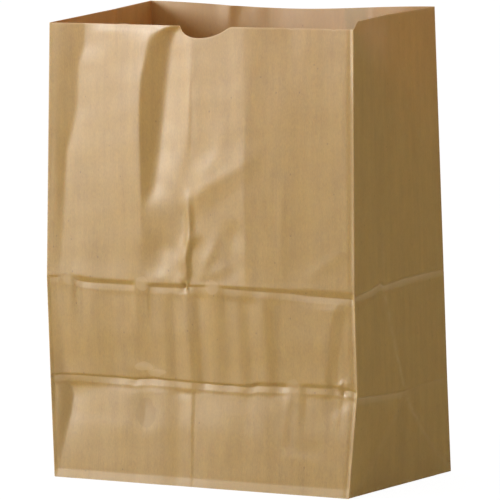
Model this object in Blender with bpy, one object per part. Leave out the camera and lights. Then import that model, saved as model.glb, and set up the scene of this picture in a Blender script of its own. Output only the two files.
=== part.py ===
# Paper lunch bag: a self-opening, gusseted sack with a flat block bottom, standing open.
# It is one sheet of kraft paper, folded and pasted, so it is one piece.
# Metres, +Z up. The origin is the middle of the underside, and the front panel faces -Y.

import math

import bmesh
import bpy
from mathutils import Vector

# The bag's own sizes
WIDTH = 0.257            # front and back panels, between their vertical folds
DEPTH = 0.170            # side panels, between their vertical folds
FRONT_HEIGHT = 0.348     # underside to the front panel's top edge
SIDE_LIP = 0.0055        # the sides and the back are cut this much higher than the front
BACK_RISE = 0.0060       # further rise of the top edge from the front to the back corners
BACK_SAG = 0.0040        # how far the middle of the back's top edge hangs below its corners
PAPER = 0.0002           # thickness of the kraft paper

# The thumb notch in the front panel's top edge
NOTCH_DEPTH = 0.0090
NOTCH_DEEPEST = 0.0006   # where the notch is deepest, right of the panel's middle
NOTCH_LEFT_REACH = 0.0164
NOTCH_RIGHT_REACH = 0.0272

# The pasted laps
SEAM_LAP = 0.022         # the tube's upright seam on the back panel
SEAM_INSET = 0.058       # from the seam to the back panel's nearer vertical fold
BOTTOM_LAP = 0.025       # the front bottom flap reaches this far over the back one

# The creases left from being folded flat, level on all four walls
LOW_FOLD_SHORT = 0.0055  # the low fold lies this much under half the depth
LOW_FOLD_DIP = 0.0024
LOW_FOLD_UP = 0.0045     # how far the low fold's slope reaches above its line
LOW_FOLD_DOWN = 0.0060   # and below it
PRESS_LINE_SHORT = 0.0170    # the press line lies this much under the full depth
PRESS_DIP = 0.0013
PRESS_REACH = 0.0042
SIDE_DIP = 0.0007        # the level creases, where they cross the side panels

# The gussets, which still lean inwards, more and more towards the mouth
APEX_DROP = 0.0045       # the gusset's apex sits this much under the low fold
GUSSET_RIDGE = 0.0009    # the slanting creases from the bottom corners to the apex
GUSSET_RIDGE_REACH = 0.008
LEFT_PINCH = 0.0140      # how far each gusset's centre is folded in, at the top
RIGHT_PINCH = 0.0045
PINCH_POWER = 1.5

# The hem, the lowest strip of the front, flares out to the bottom fold
HEM = 0.0065
HEM_TUCK = 0.0009

# The front panel's upright folds, from left to right, in the three zones that its level creases
# part. A fold's stations run from the top down: the share of the zone's height, the place as a
# share of half the width, and how far it lies behind the plain face. The paper is flat between
# two folds.
UPPER_FOLDS = (
    ((1.0, -0.770, 0.0032), (0.66, -0.820, 0.0030), (0.31, -0.895, 0.0017), (0.0, -0.930, 0.0004)),
    ((1.0, -0.590, 0.0006), (0.0, -0.640, 0.0003)),
    ((1.0, -0.170, -0.0018), (0.94, -0.317, -0.0021), (0.70, -0.378, -0.0028),
     (0.36, -0.369, -0.0021), (0.0, -0.377, -0.0006)),
    ((1.0, -0.125, 0.0014), (0.71, -0.235, 0.0032), (0.38, -0.293, 0.0009),
     (0.27, -0.345, -0.0012), (0.0, -0.280, 0.0002)),
    ((1.0, -0.066, -0.0018), (0.72, -0.050, -0.0028), (0.38, -0.149, -0.0018),
     (0.0, -0.070, -0.0012)),
    ((1.0, 0.311, -0.0044), (0.72, 0.320, -0.0052), (0.34, 0.320, -0.0056), (0.0, 0.324, -0.0042)),
    ((1.0, 0.840, -0.0013), (0.0, 0.856, -0.0012)),
)
MIDDLE_FOLDS = (
    ((1.0, -0.926, 0.0003), (0.0, -0.915, 0.0014)),
    ((1.0, -0.530, -0.0003), (0.0, -0.530, 0.0026)),
    ((1.0, -0.230, -0.0008), (0.0, -0.230, 0.0024)),
    ((1.0, 0.008, -0.0014), (0.0, 0.008, 0.0022)),
    ((1.0, 0.330, -0.0040), (0.0, 0.330, 0.0006)),
    ((1.0, 0.680, -0.0026), (0.0, 0.670, 0.0003)),
    ((1.0, 0.950, -0.0008), (0.0, 0.840, 0.0000)),
)
LOWER_FOLDS = (
    ((1.0, -0.915, 0.0014), (0.88, -0.880, 0.0038), (0.62, -0.884, 0.0034), (0.0, -0.970, 0.0)),
    ((1.0, -0.540, 0.0026), (0.0, -0.540, 0.0)),
    ((1.0, -0.425, 0.0030), (0.0, -0.420, 0.0)),
    ((1.0, -0.044, 0.0026), (0.0, -0.045, 0.0)),
    ((1.0, 0.150, 0.0014), (0.0, 0.156, -0.0003)),
    ((1.0, 0.450, 0.0004), (0.0, 0.450, -0.0003)),
    ((1.0, 0.830, 0.0000), (0.0, 0.830, 0.0)),
)

# Its pleats, which cross the upper zone on a slant: the two ends as shares of the zone's height
# and of half the width, then the depth (a rib's is below 0) and the reach to either side
PLEATS = (
    ((0.22, -0.100), (0.05, -0.365), 0.0016, 0.013),
    ((0.46, 0.310), (0.32, -0.024), -0.0016, 0.017),
    ((0.36, -0.053), (0.17, -0.044), -0.0018, 0.0075),
    ((0.17, -0.044), (0.04, -0.068), -0.0018, 0.0075),
)

# The dent in the back panel's top edge
DENT_PLACE = -0.0390
DENT_DIP = 0.0042
DENT_REACH = 0.014
DENT_LENGTH = 0.110

# How each vertical fold strays from the plain box at the floor, the low fold, the press
# line and the top: (out to its side, towards the back)
STRAY = {
    "front_left": ((-0.0013, 0.0), (0.0030, 0.0015), (0.0046, -0.0005), (0.0015, 0.0)),
    "front_right": ((-0.0015, 0.0), (0.0046, 0.0015), (0.0029, -0.0005), (0.0012, 0.0)),
    "back_right": ((-0.0003, 0.0), (-0.0021, -0.0040), (-0.0038, -0.0065), (-0.0084, -0.0150)),
    "back_left": ((-0.0003, 0.0), (0.0012, -0.0040), (0.0030, -0.0065), (0.0010, -0.0150)),
}

# How finely the walls are divided
ROW_PITCH = 0.016
FRONT_PITCH = 0.0075
BACK_PITCH = 0.0150
SIDE_PITCH = 0.0140

# Worked out from the sizes above
LOW_FOLD = DEPTH / 2 - LOW_FOLD_SHORT
PRESS_LINE = DEPTH - PRESS_LINE_SHORT
APEX = LOW_FOLD - APEX_DROP
TOP = FRONT_HEIGHT + SIDE_LIP + BACK_RISE
FLOOR = 2 * PAPER        # the bottom's end triangles, with two flaps of paper under them
SEAM_NEAR = WIDTH / 2 - SEAM_INSET

TOLERANCE = 1e-6
CORNER_EASE = 0.04       # share of a panel over which its wrinkles rise from a vertical fold
LIP_EASE = 0.06          # share of the right side over which its edge rises from the front's
WALL_NEAR = 2 * PAPER    # what lies this close to the box's outline belongs to a wall


def spaced(stops, pitch):
    """The stops in order, with even steps of about the pitch between them."""
    stops = sorted(stops)
    places = [stops[0]]
    for low, high in zip(stops, stops[1:]):
        steps = max(1, round((high - low) / pitch))
        places += [low + (high - low) * step / steps for step in range(1, steps + 1)]
    return places


def between(low, high, share):
    return low + (high - low) * share


def ease(value, start, end):
    """0 before start, 1 after end, and a smooth rise between them."""
    share = min(1.0, max(0.0, (value - start) / (end - start)))
    return share * share * (3 - 2 * share)


def vee(distance, reach):
    """A straight-sided crease: 1 on its line and 0 from its reach outwards."""
    return max(0.0, 1 - abs(distance) / reach)


def notch_cut(x):
    """How far the thumb notch goes below the front's top edge: steep left, shallow right."""
    across = x - NOTCH_DEEPEST
    if -NOTCH_LEFT_REACH < across <= 0:
        return NOTCH_DEPTH * math.sqrt(1 - (across / NOTCH_LEFT_REACH) ** 2)
    if 0 < across < NOTCH_RIGHT_REACH:
        radius = (NOTCH_RIGHT_REACH ** 2 + NOTCH_DEPTH ** 2) / (2 * NOTCH_DEPTH)
        return NOTCH_DEPTH - radius + math.sqrt(radius ** 2 - across ** 2)
    return 0.0


def mouth_height(panel, share, x):
    """Height of the bag's mouth at a share of the way along a panel, from its left or front end."""
    if panel == "front":
        return FRONT_HEIGHT - notch_cut(x)
    if panel == "back":
        return TOP - BACK_SAG * math.sin(math.pi * share) ** 2
    if panel == "left":
        return FRONT_HEIGHT + (SIDE_LIP + BACK_RISE) * share
    return FRONT_HEIGHT + SIDE_LIP * ease(share, 0.0, LIP_EASE) + BACK_RISE * share


def corner(name, z):
    """Where a vertical fold stands at a height."""
    side = 1 if name.endswith("right") else -1
    face = 1 if name.startswith("back") else -1
    levels = (0.0, LOW_FOLD, PRESS_LINE, TOP)
    span = 2
    while span > 0 and z < levels[span]:
        span -= 1
    share = (z - levels[span]) / (levels[span + 1] - levels[span])
    (out, back), (next_out, next_back) = STRAY[name][span:span + 2]
    x = side * (WIDTH / 2 + between(out, next_out, share))
    y = face * DEPTH / 2 + between(back, next_back, share)
    return Vector((x, y, z))


def reading(fold, height):
    """A fold's place and depth at a share of its zone's height."""
    for (high, place, depth), (low, next_place, next_depth) in zip(fold, fold[1:]):
        if height >= low:
            share = (high - height) / (high - low)
            return between(place, next_place, share), between(depth, next_depth, share)
    return fold[-1][1:]


def folded(x, height, folds):
    """How far a zone of the front lies behind its plain face: flat from fold to fold."""
    across = x / (WIDTH / 2)
    line = [(-1.0, 0.0), *(reading(fold, min(1.0, height)) for fold in folds), (1.0, 0.0)]
    for (left, depth), (right, next_depth) in zip(line, line[1:]):
        if across <= right:
            return between(depth, next_depth, (across - left) / (right - left))
    return 0.0


def pleated(x, z):
    """What the slanting pleats add to the upper zone."""
    inward, here = 0.0, Vector((x, z))
    for *ends, depth, reach in PLEATS:
        start, end = (Vector((across * WIDTH / 2, between(PRESS_LINE, FRONT_HEIGHT, up)))
                      for up, across in ends)
        run = end - start
        share = min(1.0, max(0.0, (here - start).dot(run) / run.length_squared))
        inward += depth * vee((here - start - run * share).length, reach)
    return inward


def front_relief(x, z):
    """How far the front panel lies behind its plain face."""
    reach = LOW_FOLD_UP if z > LOW_FOLD else LOW_FOLD_DOWN
    inward = LOW_FOLD_DIP * vee(z - LOW_FOLD, reach) + PRESS_DIP * vee(z - PRESS_LINE, PRESS_REACH)
    if z < LOW_FOLD:
        return inward + HEM_TUCK * vee(z - HEM, HEM) + folded(x, z / LOW_FOLD, LOWER_FOLDS)
    if z < PRESS_LINE:
        return inward + folded(x, (z - LOW_FOLD) / (PRESS_LINE - LOW_FOLD), MIDDLE_FOLDS)
    up = (z - PRESS_LINE) / (FRONT_HEIGHT - PRESS_LINE)
    return inward + folded(x, up, UPPER_FOLDS) + pleated(x, z)


def side_relief(y, z, pinch):
    """How far a gusset is folded in: a centre crease down to its apex, and two slanting ones."""
    inward = SIDE_DIP * (vee(z - LOW_FOLD, LOW_FOLD_DOWN) + vee(z - PRESS_LINE, PRESS_REACH))
    if z >= APEX:
        up = (z - APEX) / (TOP - APEX)
        return inward + pinch * up ** PINCH_POWER * vee(y, DEPTH / 2)
    slant = APEX * (1 - abs(y) / (DEPTH / 2))
    return inward - GUSSET_RIDGE * vee(z - slant, GUSSET_RIDGE_REACH) * ease(z, 0.0, HEM)


def back_relief(x, z):
    """How far the back panel lies inside its plain face."""
    inward = LOW_FOLD_DIP / 2 * vee(z - LOW_FOLD, LOW_FOLD_DOWN)
    inward += PRESS_DIP / 2 * vee(z - PRESS_LINE, PRESS_REACH)
    strength = max(0.0, 1 - (TOP - z) / DENT_LENGTH)
    return inward + DENT_DIP * strength * vee(x - DENT_PLACE, DENT_REACH)


def creased_wall(point):
    """Where a point of the plain box's wall lies on the creased bag."""
    x, y, z = point
    gaps = {"front": y + DEPTH / 2, "back": DEPTH / 2 - y,
            "left": x + WIDTH / 2, "right": WIDTH / 2 - x}
    panel = min(gaps, key=gaps.get)
    if panel in ("front", "back"):
        ends, share, outward = ("left", "right"), (x + WIDTH / 2) / WIDTH, Vector((0, -1, 0))
        if panel == "back":
            outward = -outward
        ends = [f"{panel}_{end}" for end in ends]
    else:
        ends, share, outward = ("front", "back"), (y + DEPTH / 2) / DEPTH, Vector((1, 0, 0))
        if panel == "left":
            outward = -outward
        ends = [f"{end}_{panel}" for end in ends]
    share = min(1.0, max(0.0, share))
    if z > PRESS_LINE:
        stretch = (mouth_height(panel, share, x) - PRESS_LINE) / (TOP - PRESS_LINE)
        z = PRESS_LINE + (z - PRESS_LINE) * stretch
    if panel == "front":
        inward = front_relief(x, z)
    elif panel == "back":
        inward = back_relief(x, z)
    else:
        inward = side_relief(y, z, RIGHT_PINCH if panel == "right" else LEFT_PINCH)
    inward *= ease(share, 0.0, CORNER_EASE) * ease(1 - share, 0.0, CORNER_EASE)
    place = corner(ends[0], z).lerp(corner(ends[1], z), share)
    return place - outward * (gaps[panel] + inward)


def creased_floor(point):
    """Where a point of the plain box's floor lies: flat, between the four corners."""
    x, y, z = point
    across, along = (x + WIDTH / 2) / WIDTH, (y + DEPTH / 2) / DEPTH
    front = corner("front_left", 0.0).lerp(corner("front_right", 0.0), across)
    back = corner("back_left", 0.0).lerp(corner("back_right", 0.0), across)
    place = front.lerp(back, along)
    place.z = z
    return place


def score(mesh, faces, place, normal):
    """Cut a straight line into some faces, as a scoring wheel marks a sheet."""
    edges = {edge for face in faces for edge in face.edges}
    verts = {vert for face in faces for vert in face.verts}
    bmesh.ops.bisect_plane(
        mesh, geom=[*verts, *edges, *faces], dist=TOLERANCE, plane_co=place, plane_no=normal)


def facing(mesh, direction):
    """The faces that look along a direction."""
    mesh.normal_update()
    return [face for face in mesh.faces if face.normal.dot(Vector(direction)) > 0.9]


def plain_box(mesh):
    """An open box of the bag's size, with its floor above the two bottom flaps."""
    height = TOP - FLOOR
    bmesh.ops.create_cube(mesh, size=1.0)
    bmesh.ops.scale(mesh, verts=mesh.verts, vec=(WIDTH, DEPTH, height))
    bmesh.ops.translate(mesh, verts=mesh.verts, vec=(0, 0, FLOOR + height / 2))
    bmesh.ops.delete(mesh, geom=facing(mesh, (0, 0, 1)), context="FACES_ONLY")


def score_walls(mesh):
    """Score the level creases on all the walls, and the upright ones on each panel."""
    levels = [FLOOR, HEM, LOW_FOLD - LOW_FOLD_DOWN, LOW_FOLD, LOW_FOLD + LOW_FOLD_UP,
              PRESS_LINE - PRESS_REACH, PRESS_LINE, PRESS_LINE + PRESS_REACH, TOP]
    for z in spaced(levels, ROW_PITCH)[1:-1]:
        mesh.normal_update()
        walls = [face for face in mesh.faces if abs(face.normal.z) < 0.5]
        score(mesh, walls, (0, 0, z), (0, 0, 1))
    notch_stops = [NOTCH_DEEPEST - NOTCH_LEFT_REACH * share for share in (1, 0.96, 0.84, 0.55)]
    notch_stops += [NOTCH_DEEPEST + NOTCH_RIGHT_REACH * share for share in (0, 0.35, 0.7, 1)]
    fold_stops = [place * WIDTH / 2 for (_, place, _), *_ in UPPER_FOLDS
                  if min(abs(place * WIDTH / 2 - stop) for stop in notch_stops) > TOLERANCE]
    panels = {
        (0, -1, 0): spaced([-WIDTH / 2, *notch_stops, *fold_stops, WIDTH / 2], FRONT_PITCH),
        (0, 1, 0): spaced([-WIDTH / 2, DENT_PLACE - DENT_REACH, DENT_PLACE,
                           DENT_PLACE + DENT_REACH, SEAM_NEAR - SEAM_LAP, SEAM_NEAR,
                           WIDTH / 2], BACK_PITCH),
        (-1, 0, 0): spaced([-DEPTH / 2, 0.0, DEPTH / 2], SIDE_PITCH),
        (1, 0, 0): spaced([-DEPTH / 2, 0.0, DEPTH / 2], SIDE_PITCH),
    }
    for direction, places in panels.items():
        normal = Vector((1, 0, 0)) if direction[0] == 0 else Vector((0, 1, 0))
        for place in places[1:-1]:
            score(mesh, facing(mesh, direction), normal * place, normal)


def score_gussets(mesh):
    """Score the two slanting creases that rise from the bottom corners to each apex."""
    for side in (-1, 1):
        for end in (-1, 1):
            low = [face for face in facing(mesh, (side, 0, 0))
                   if face.calc_center_median().z < APEX
                   and face.calc_center_median().y * end > 0]
            score(mesh, low, (0, 0, APEX), (0, end * APEX, DEPTH / 2))


def score_bottom(mesh):
    """Score the bottom's folds: the four slants from its corners and the front flap's edge."""
    for side in (-1, 1):
        for end in (-1, 1):
            score(mesh, facing(mesh, (0, 0, -1)), (side * WIDTH / 2, end * DEPTH / 2, FLOOR),
                  (side, -end, 0))
    score(mesh, facing(mesh, (0, 0, -1)), (0, BOTTOM_LAP / 2, FLOOR), (0, 1, 0))


def under_flap(face, end):
    """Whether a face of the underside lies between the slants of the front or back flap."""
    middle = face.calc_center_median()
    return WIDTH / 2 - abs(middle.x) > DEPTH / 2 - end * middle.y


def add_ply(mesh, faces, offset):
    """Paste one more thickness of paper on some faces."""
    grown = bmesh.ops.extrude_face_region(mesh, geom=faces)["geom"]
    verts = [item for item in grown if isinstance(item, bmesh.types.BMVert)]
    bmesh.ops.translate(mesh, verts=verts, vec=offset)
    bmesh.ops.delete(mesh, geom=faces, context="FACES")


def paste_bottom(mesh):
    """Block bottom: the end triangles are tucked in first, then the back flap, then the front."""
    def in_front(face):
        return under_flap(face, -1) and face.calc_center_median().y < BOTTOM_LAP / 2

    flaps = [face for face in facing(mesh, (0, 0, -1)) if in_front(face) or under_flap(face, 1)]
    add_ply(mesh, flaps, (0, 0, -PAPER))
    lower = [face for face in facing(mesh, (0, 0, -1))
             if face.calc_center_median().z < FLOOR - PAPER / 2 and in_front(face)]
    add_ply(mesh, lower, (0, 0, -PAPER))


def paste_seam(mesh):
    """The tube's lap seam, where the sheet's two upright edges are pasted together."""
    lap = [face for face in facing(mesh, (0, 1, 0))
           if face.calc_center_median().y > 0
           and SEAM_NEAR - SEAM_LAP < face.calc_center_median().x < SEAM_NEAR]
    add_ply(mesh, lap, (0, PAPER, 0))


def crease(mesh):
    """Move every point of the plain bag to its place on the creased one."""
    walls = {vert for face in mesh.faces if abs(face.normal.z) < 0.5 for vert in face.verts}
    for vert in mesh.verts:
        on_wall = vert.co.z > FLOOR + 2 * PAPER or (
            vert in walls and (WIDTH / 2 - abs(vert.co.x) < WALL_NEAR
                               or DEPTH / 2 - abs(vert.co.y) < WALL_NEAR))
        vert.co = creased_wall(vert.co) if on_wall else creased_floor(vert.co)


def kraft_paper():
    material = bpy.data.materials.new("kraft_paper")
    material.use_nodes = True
    shader = material.node_tree.nodes["Principled BSDF"]
    shader.inputs["Base Color"].default_value = (0.50, 0.34, 0.18, 1.0)
    shader.inputs["Roughness"].default_value = 0.72
    shader.inputs["Metallic"].default_value = 0.0
    return material


def paper_bag(collection):
    mesh = bmesh.new()
    plain_box(mesh)
    score_walls(mesh)
    score_gussets(mesh)
    bmesh.ops.solidify(mesh, geom=mesh.faces[:], thickness=PAPER)
    score_bottom(mesh)
    paste_bottom(mesh)
    paste_seam(mesh)
    mesh.normal_update()
    crease(mesh)
    bmesh.ops.triangulate(mesh, faces=mesh.faces[:], quad_method="SHORT_EDGE",
                          ngon_method="BEAUTY")
    data = bpy.data.meshes.new("paper_bag")
    mesh.to_mesh(data)
    mesh.free()
    data.materials.append(kraft_paper())
    bag = bpy.data.objects.new("paper_bag", data)
    collection.objects.link(bag)
    return bag


def main():
    for old in list(bpy.data.objects):
        bpy.data.objects.remove(old, do_unlink=True)
    collection = bpy.data.collections.new("paper_lunch_bag")
    bpy.context.scene.collection.children.link(collection)
    paper_bag(collection)


main()
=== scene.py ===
# Paper lunch bag, standing open on a pale floor: the finish of its one folded sheet of kraft paper.
# Metres, +Z up, in the frame's own axes: the front panel faces -Y, the underside lies at Z = 0.
# The sheet is ruled finely beside its folds, rolled into a tube, and then creased: on each panel a
# few upright folds carry flat facets between them, and level folds and small pleats cross those.

import math

import bmesh
import bpy
import numpy as np
from bpy.props import FloatProperty, FloatVectorProperty, PointerProperty
from mathutils import Matrix, Vector


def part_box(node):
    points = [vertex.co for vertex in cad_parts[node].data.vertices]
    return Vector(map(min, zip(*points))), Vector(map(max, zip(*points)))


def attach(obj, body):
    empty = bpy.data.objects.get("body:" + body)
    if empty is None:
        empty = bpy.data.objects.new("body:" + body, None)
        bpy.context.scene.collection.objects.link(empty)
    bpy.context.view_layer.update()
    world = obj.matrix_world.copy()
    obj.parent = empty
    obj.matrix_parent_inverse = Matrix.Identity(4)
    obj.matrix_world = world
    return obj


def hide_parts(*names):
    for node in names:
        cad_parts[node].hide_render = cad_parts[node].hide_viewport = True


bl_info = {
    "name": "Paper Lunch Bag",
    "version": (1, 0, 0),
    "blender": (4, 5, 0),
    "location": "3D Viewport > Sidebar > Paper Bag",
    "description": "Folds a gusseted kraft paper bag from one sheet and lights it",
    "category": "Add Mesh",
}

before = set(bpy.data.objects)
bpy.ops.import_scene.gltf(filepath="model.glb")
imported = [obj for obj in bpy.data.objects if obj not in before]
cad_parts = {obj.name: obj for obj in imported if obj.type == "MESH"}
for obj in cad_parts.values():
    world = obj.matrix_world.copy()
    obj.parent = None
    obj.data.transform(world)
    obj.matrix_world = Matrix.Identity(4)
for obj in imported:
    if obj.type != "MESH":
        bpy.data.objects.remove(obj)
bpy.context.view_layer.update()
NODE = "paper_bag"
PIECE = "kraft_sheet"

MM = 0.001
TOLERANCE = 1e-6
LOWEST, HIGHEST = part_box(NODE)

# Stations of the creases, as the solid has them
LOW_FOLD = 0.0795
PRESS_LINE = 0.1530
GUSSET_APEX = 0.0750
TOP = HIGHEST.z
FRONT_TOP = 0.3480
SEAM_NEAR = 0.0705       # the tube's lap seam, on the back panel
SEAM_LAP = 0.0220
BOTTOM_LAP = 0.0250      # the front bottom flap reaches this far over the back one
LEVEL_REACH = 0.0015     # how near a station's height the solid's own corners are looked for
FOLD_FLANK = 0.0026      # beside an upright fold the panel is plain for this width

# The thumb notch in the front panel's top edge
NOTCH_DEPTH = 0.0090
NOTCH_DEEPEST = 0.0006
NOTCH_LEFT_REACH = 0.0164
NOTCH_RIGHT_REACH = 0.0272

# Small nicks in the front's cut edge, and the short teeth left of the notch, in millimetres:
# (place, half width, depth)
EDGE_NICKS = ((77.0, 1.6, 0.9), (112.0, 1.4, 1.3), (-69.0, 0.9, -0.6), (-66.5, 0.9, -0.7),
              (-64.0, 0.9, -0.6), (-61.5, 0.8, -0.5))

# Upright folds of the front above the press line, in millimetres, from left to right. Each has
# stations from the top down: (height, place, depth behind the plain face, softness).
FRONT_UPPER = (
    ((348, -121.0, 0.6, 3), (250, -121.5, 0.6, 3), (213, -122.0, 0.4, 3), (157, -124.0, 0.1, 3)),
    ((348, -98.8, 3.0, 1.3), (331, -99.2, 3.1, 1.3), (318, -104.4, 2.9, 1.3),
     (282, -105.4, 3.0, 1.5), (250, -113.7, 2.5, 1.5), (213, -115.0, 1.7, 1.5),
     (171, -116.6, 0.8, 1.5), (157, -120.0, 0.3, 1.5)),
    ((348, -76.0, 0.6, 6), (282, -78.0, 0.3, 6), (225, -80.0, 0.3, 6), (157, -82.0, 0.3, 6)),
    ((350, -18.0, -1.8, 0.6), (346.6, -21.0, -2.0, 0.6), (343.8, -31.5, -2.1, 0.6),
     (337, -40.6, -2.3, 0.8), (329, -42.7, -2.4, 0.8), (306, -47.5, -2.8, 0.8),
     (290, -48.6, -2.9, 0.8), (262, -48.4, -2.7, 0.8), (224, -47.4, -2.1, 0.8),
     (208, -47.0, -1.5, 1), (180, -47.3, -0.8, 2), (157, -48.5, -0.5, 3)),
    ((350, -15.5, 0.2, 1.5), (344, -20.5, 1.6, 2), (333, -25.4, 2.4, 3), (322, -26.8, 2.9, 3),
     (292, -30.2, 3.2, 3), (277, -31.9, 3.1, 3), (254, -34.2, 2.5, 3), (227, -37.6, 0.9, 3),
     (213, -43.0, -1.1, 2), (205, -45.0, -1.2, 2), (180, -30.0, 0.6, 4), (164, -34.0, 0.4, 4),
     (157, -36.0, -0.2, 3)),
    ((350, -8.5, -1.8, 3), (334, -6.2, -2.5, 3), (293, -6.4, -2.8, 3),
     (262, -9.8, -2.7, 3), (240, -14.9, -2.2, 2), (228, -19.2, -1.8, 2),
     (200, -14.0, -1.3, 1.6), (180, -10.0, -1.4, 1.6), (157, -9.0, -1.2, 1.6)),
    ((348, 38.0, -4.0, 13), (294, 41.2, -5.0, 5), (262, 41.2, -5.4, 1.5), (219, 41.2, -5.8, 0.7),
     (163, 41.6, -4.4, 0.7), (157, 41.6, -4.1, 1)),
    ((348, 108.0, -0.7, 9), (250, 109.0, -0.9, 9), (157, 110.0, -0.8, 9)),
)

# The same between the press line and the low fold
FRONT_BAND = (
    ((153, -119.0, 0.7, 2), (110, -119.0, 1.3, 2), (84, -117.5, 2.3, 2)),
    ((153, -93.0, -0.2, 5), (80, -93.0, 1.8, 5)),
    ((153, -74.0, 0.4, 4), (80, -74.0, 3.0, 4)),
    ((153, -60.0, -0.2, 6), (80, -60.0, 2.2, 6)),
    ((153, -42.5, -0.1, 2.5), (80, -42.5, 2.8, 2.5)),
    ((153, -29.5, -1.0, 3), (80, -29.5, 1.8, 3)),
    ((153, -21.0, -0.4, 2), (80, -21.0, 2.5, 2)),
    ((153, -10.0, -1.8, 1.2), (80, -9.0, 0.9, 1.2)),
    ((153, 0.0, -0.6, 1), (80, 1.0, 2.5, 1)),
    ((153, 12.0, -2.6, 3), (80, 13.0, 0.9, 3)),
    ((153, 24.0, -2.4, 3), (80, 24.0, 1.3, 3)),
    ((153, 33.5, -3.6, 1.5), (80, 33.5, 0.2, 1.5)),
    ((153, 42.0, -2.9, 3), (80, 43.0, 1.0, 3)),
    ((153, 54.0, -4.4, 1.5), (80, 56.0, -0.6, 1.5)),
    ((153, 64.0, -2.9, 2), (80, 64.0, 0.9, 2)),
    ((153, 88.0, -2.6, 5), (80, 86.0, 0.2, 5)),
    ((153, 122.0, -1.2, 1), (140, 112.0, -2.0, 1), (120, 107.0, -1.7, 1), (80, 106.0, -0.5, 1)),
    ((153, 126.0, -0.4, 1.5), (120, 117.0, -0.4, 1.5), (97, 112.5, 0.2, 1.5), (80, 108.5, 0.8, 1.5)),
)

# The same below the low fold
FRONT_LOWER = (
    ((79, -123.0, 1.2, 2), (64, -121.0, 1.3, 2), (35, -124.0, 0.6, 2), (0, -126.5, 0.0, 2)),
    ((79, -117.5, 2.8, 0.6), (71, -113.0, 4.3, 0.6), (64, -111.4, 4.6, 0.6),
     (50, -113.6, 3.9, 0.6), (35, -117.5, 2.4, 0.6), (17, -122.5, 0.8, 0.6),
     (0, -125.0, 0.0, 0.6)),
    ((79, -92.0, 3.0, 6), (50, -93.0, 2.3, 6), (20, -95.0, 0.7, 6), (0, -95.0, 0.0, 6)),
    ((79, -70.0, 2.4, 6), (50, -68.0, 1.4, 6), (0, -70.0, -0.2, 6)),
    ((79, -54.5, 2.1, 3), (50, -53.5, 1.1, 3), (0, -54.0, -0.4, 3)),
    ((79, -31.0, 1.7, 4), (50, -31.0, 0.8, 4), (0, -31.0, -0.5, 4)),
    ((79, -19.0, 2.7, 2.5), (50, -19.0, 1.8, 2.5), (0, -19.0, 0.1, 2.5)),
    ((79, -8.4, 1.8, 0.6), (50, -8.2, 1.0, 0.6), (0, -7.6, -0.2, 0.6)),
    ((79, -6.6, 2.3, 0.5), (50, -6.4, 1.5, 0.5), (0, -5.9, 0.0, 0.5)),
    ((79, 19.0, 1.0, 8), (50, 20.0, 0.2, 8), (0, 20.0, -0.5, 8)),
    ((79, 38.0, 0.9, 4), (50, 38.0, 0.5, 4), (0, 38.0, -0.2, 4)),
    ((79, 58.0, 0.0, 6), (50, 58.0, 0.0, 6), (0, 58.0, -0.2, 6)),
    ((79, 107.0, 0.4, 3), (50, 107.5, 0.4, 3), (28, 107.0, 0.2, 3), (0, 107.0, 0.0, 3)),
)

# Upright folds of the front that need close columns, in millimetres
FRONT_CRISP = (-114.0, -99.0, -47.5, -6.0, 41.4, 116.0)

# Level folds of the front, in millimetres: stations from left to right, with the fold's height,
# its depth and how tall the step above it is. Its paper leans back out under the fold.
PRESS_FOLD = (
    (-133, 153.4, 0.6, 1.6), (-120.5, 153.6, 0.6, 1.6), (-118, 154.0, 0.1, 2.0),
    (-107, 154.0, 0.1, 3.0), (-104.5, 152.6, 1.3, 3.8), (-98, 151.2, 1.7, 4.4),
    (-89, 150.8, 1.5, 3.6), (-56, 150.8, 1.4, 3.4), (-53.5, 151.4, 0.1, 3.0),
    (-43.5, 151.4, 0.1, 2.4), (-41, 150.0, 1.2, 3.2), (-13, 150.4, 1.4, 3.6),
    (-9, 151.4, 1.6, 4.0), (-5, 151.8, 0.8, 1.6), (5, 152.4, 0.8, 1.6), (7.0, 152.6, 0.1, 2.0),
    (19.0, 152.6, 0.1, 2.0), (21.5, 152.0, 0.9, 2.2), (43, 151.4, 1.1, 3.0), (80, 150.6, 1.2, 3.4),
    (90, 149.6, 1.4, 5.0), (131, 148.4, 1.5, 5.5))
LOW_FOLD_LINE = (
    (-133, 77.4, 0.7, 1.4), (-118, 78.6, 0.7, 1.4), (-104, 79.0, 0.8, 1.5), (-61, 78.6, 0.9, 1.5),
    (-57.4, 77.9, 0.9, 1.8), (-54, 78.6, 0.9, 1.5), (-42, 79.6, 0.9, 1.6), (1, 78.5, 1.0, 1.6),
    (35, 78.4, 1.0, 1.6), (38, 78.0, 1.1, 2.6), (43, 78.6, 1.1, 2.8), (46, 79.6, 1.1, 3.0),
    (69, 80.2, 1.1, 3.2), (72, 80.6, 0.1, 2.4), (83, 81.0, 0.1, 2.4), (86, 80.8, 1.1, 3.0),
    (113, 81.2, 1.0, 2.8), (116.5, 79.8, 1.3, 3.2), (121, 80.8, 0.9, 1.8), (134, 77.4, 0.7, 1.6))
BRIGHT_STRIP = 4.8       # how far the paper slopes back out under a level fold
STRIP_FOOT = 0.66        # share of the fold's depth that is left at the strip's foot
LEDGE = 2.4              # height of the narrow ledge under the low fold's strip
LIP = 0.25               # share of the depth by which the step's upper edge stands proud
LIP_SPREAD = 12.0        # how far above the step its lip fades out
STRIP_SPREAD = 30.0      # how far below the strip the panel takes to come out again
SIDE_SPREAD = 12.0       # the same on the side panels
LOW_LEDGE = 0.28         # share of the low fold's depth by which its ledge steps back in
ZONE_BLEND = 9.0         # how far below a level fold its zone's own upright folds take over

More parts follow.
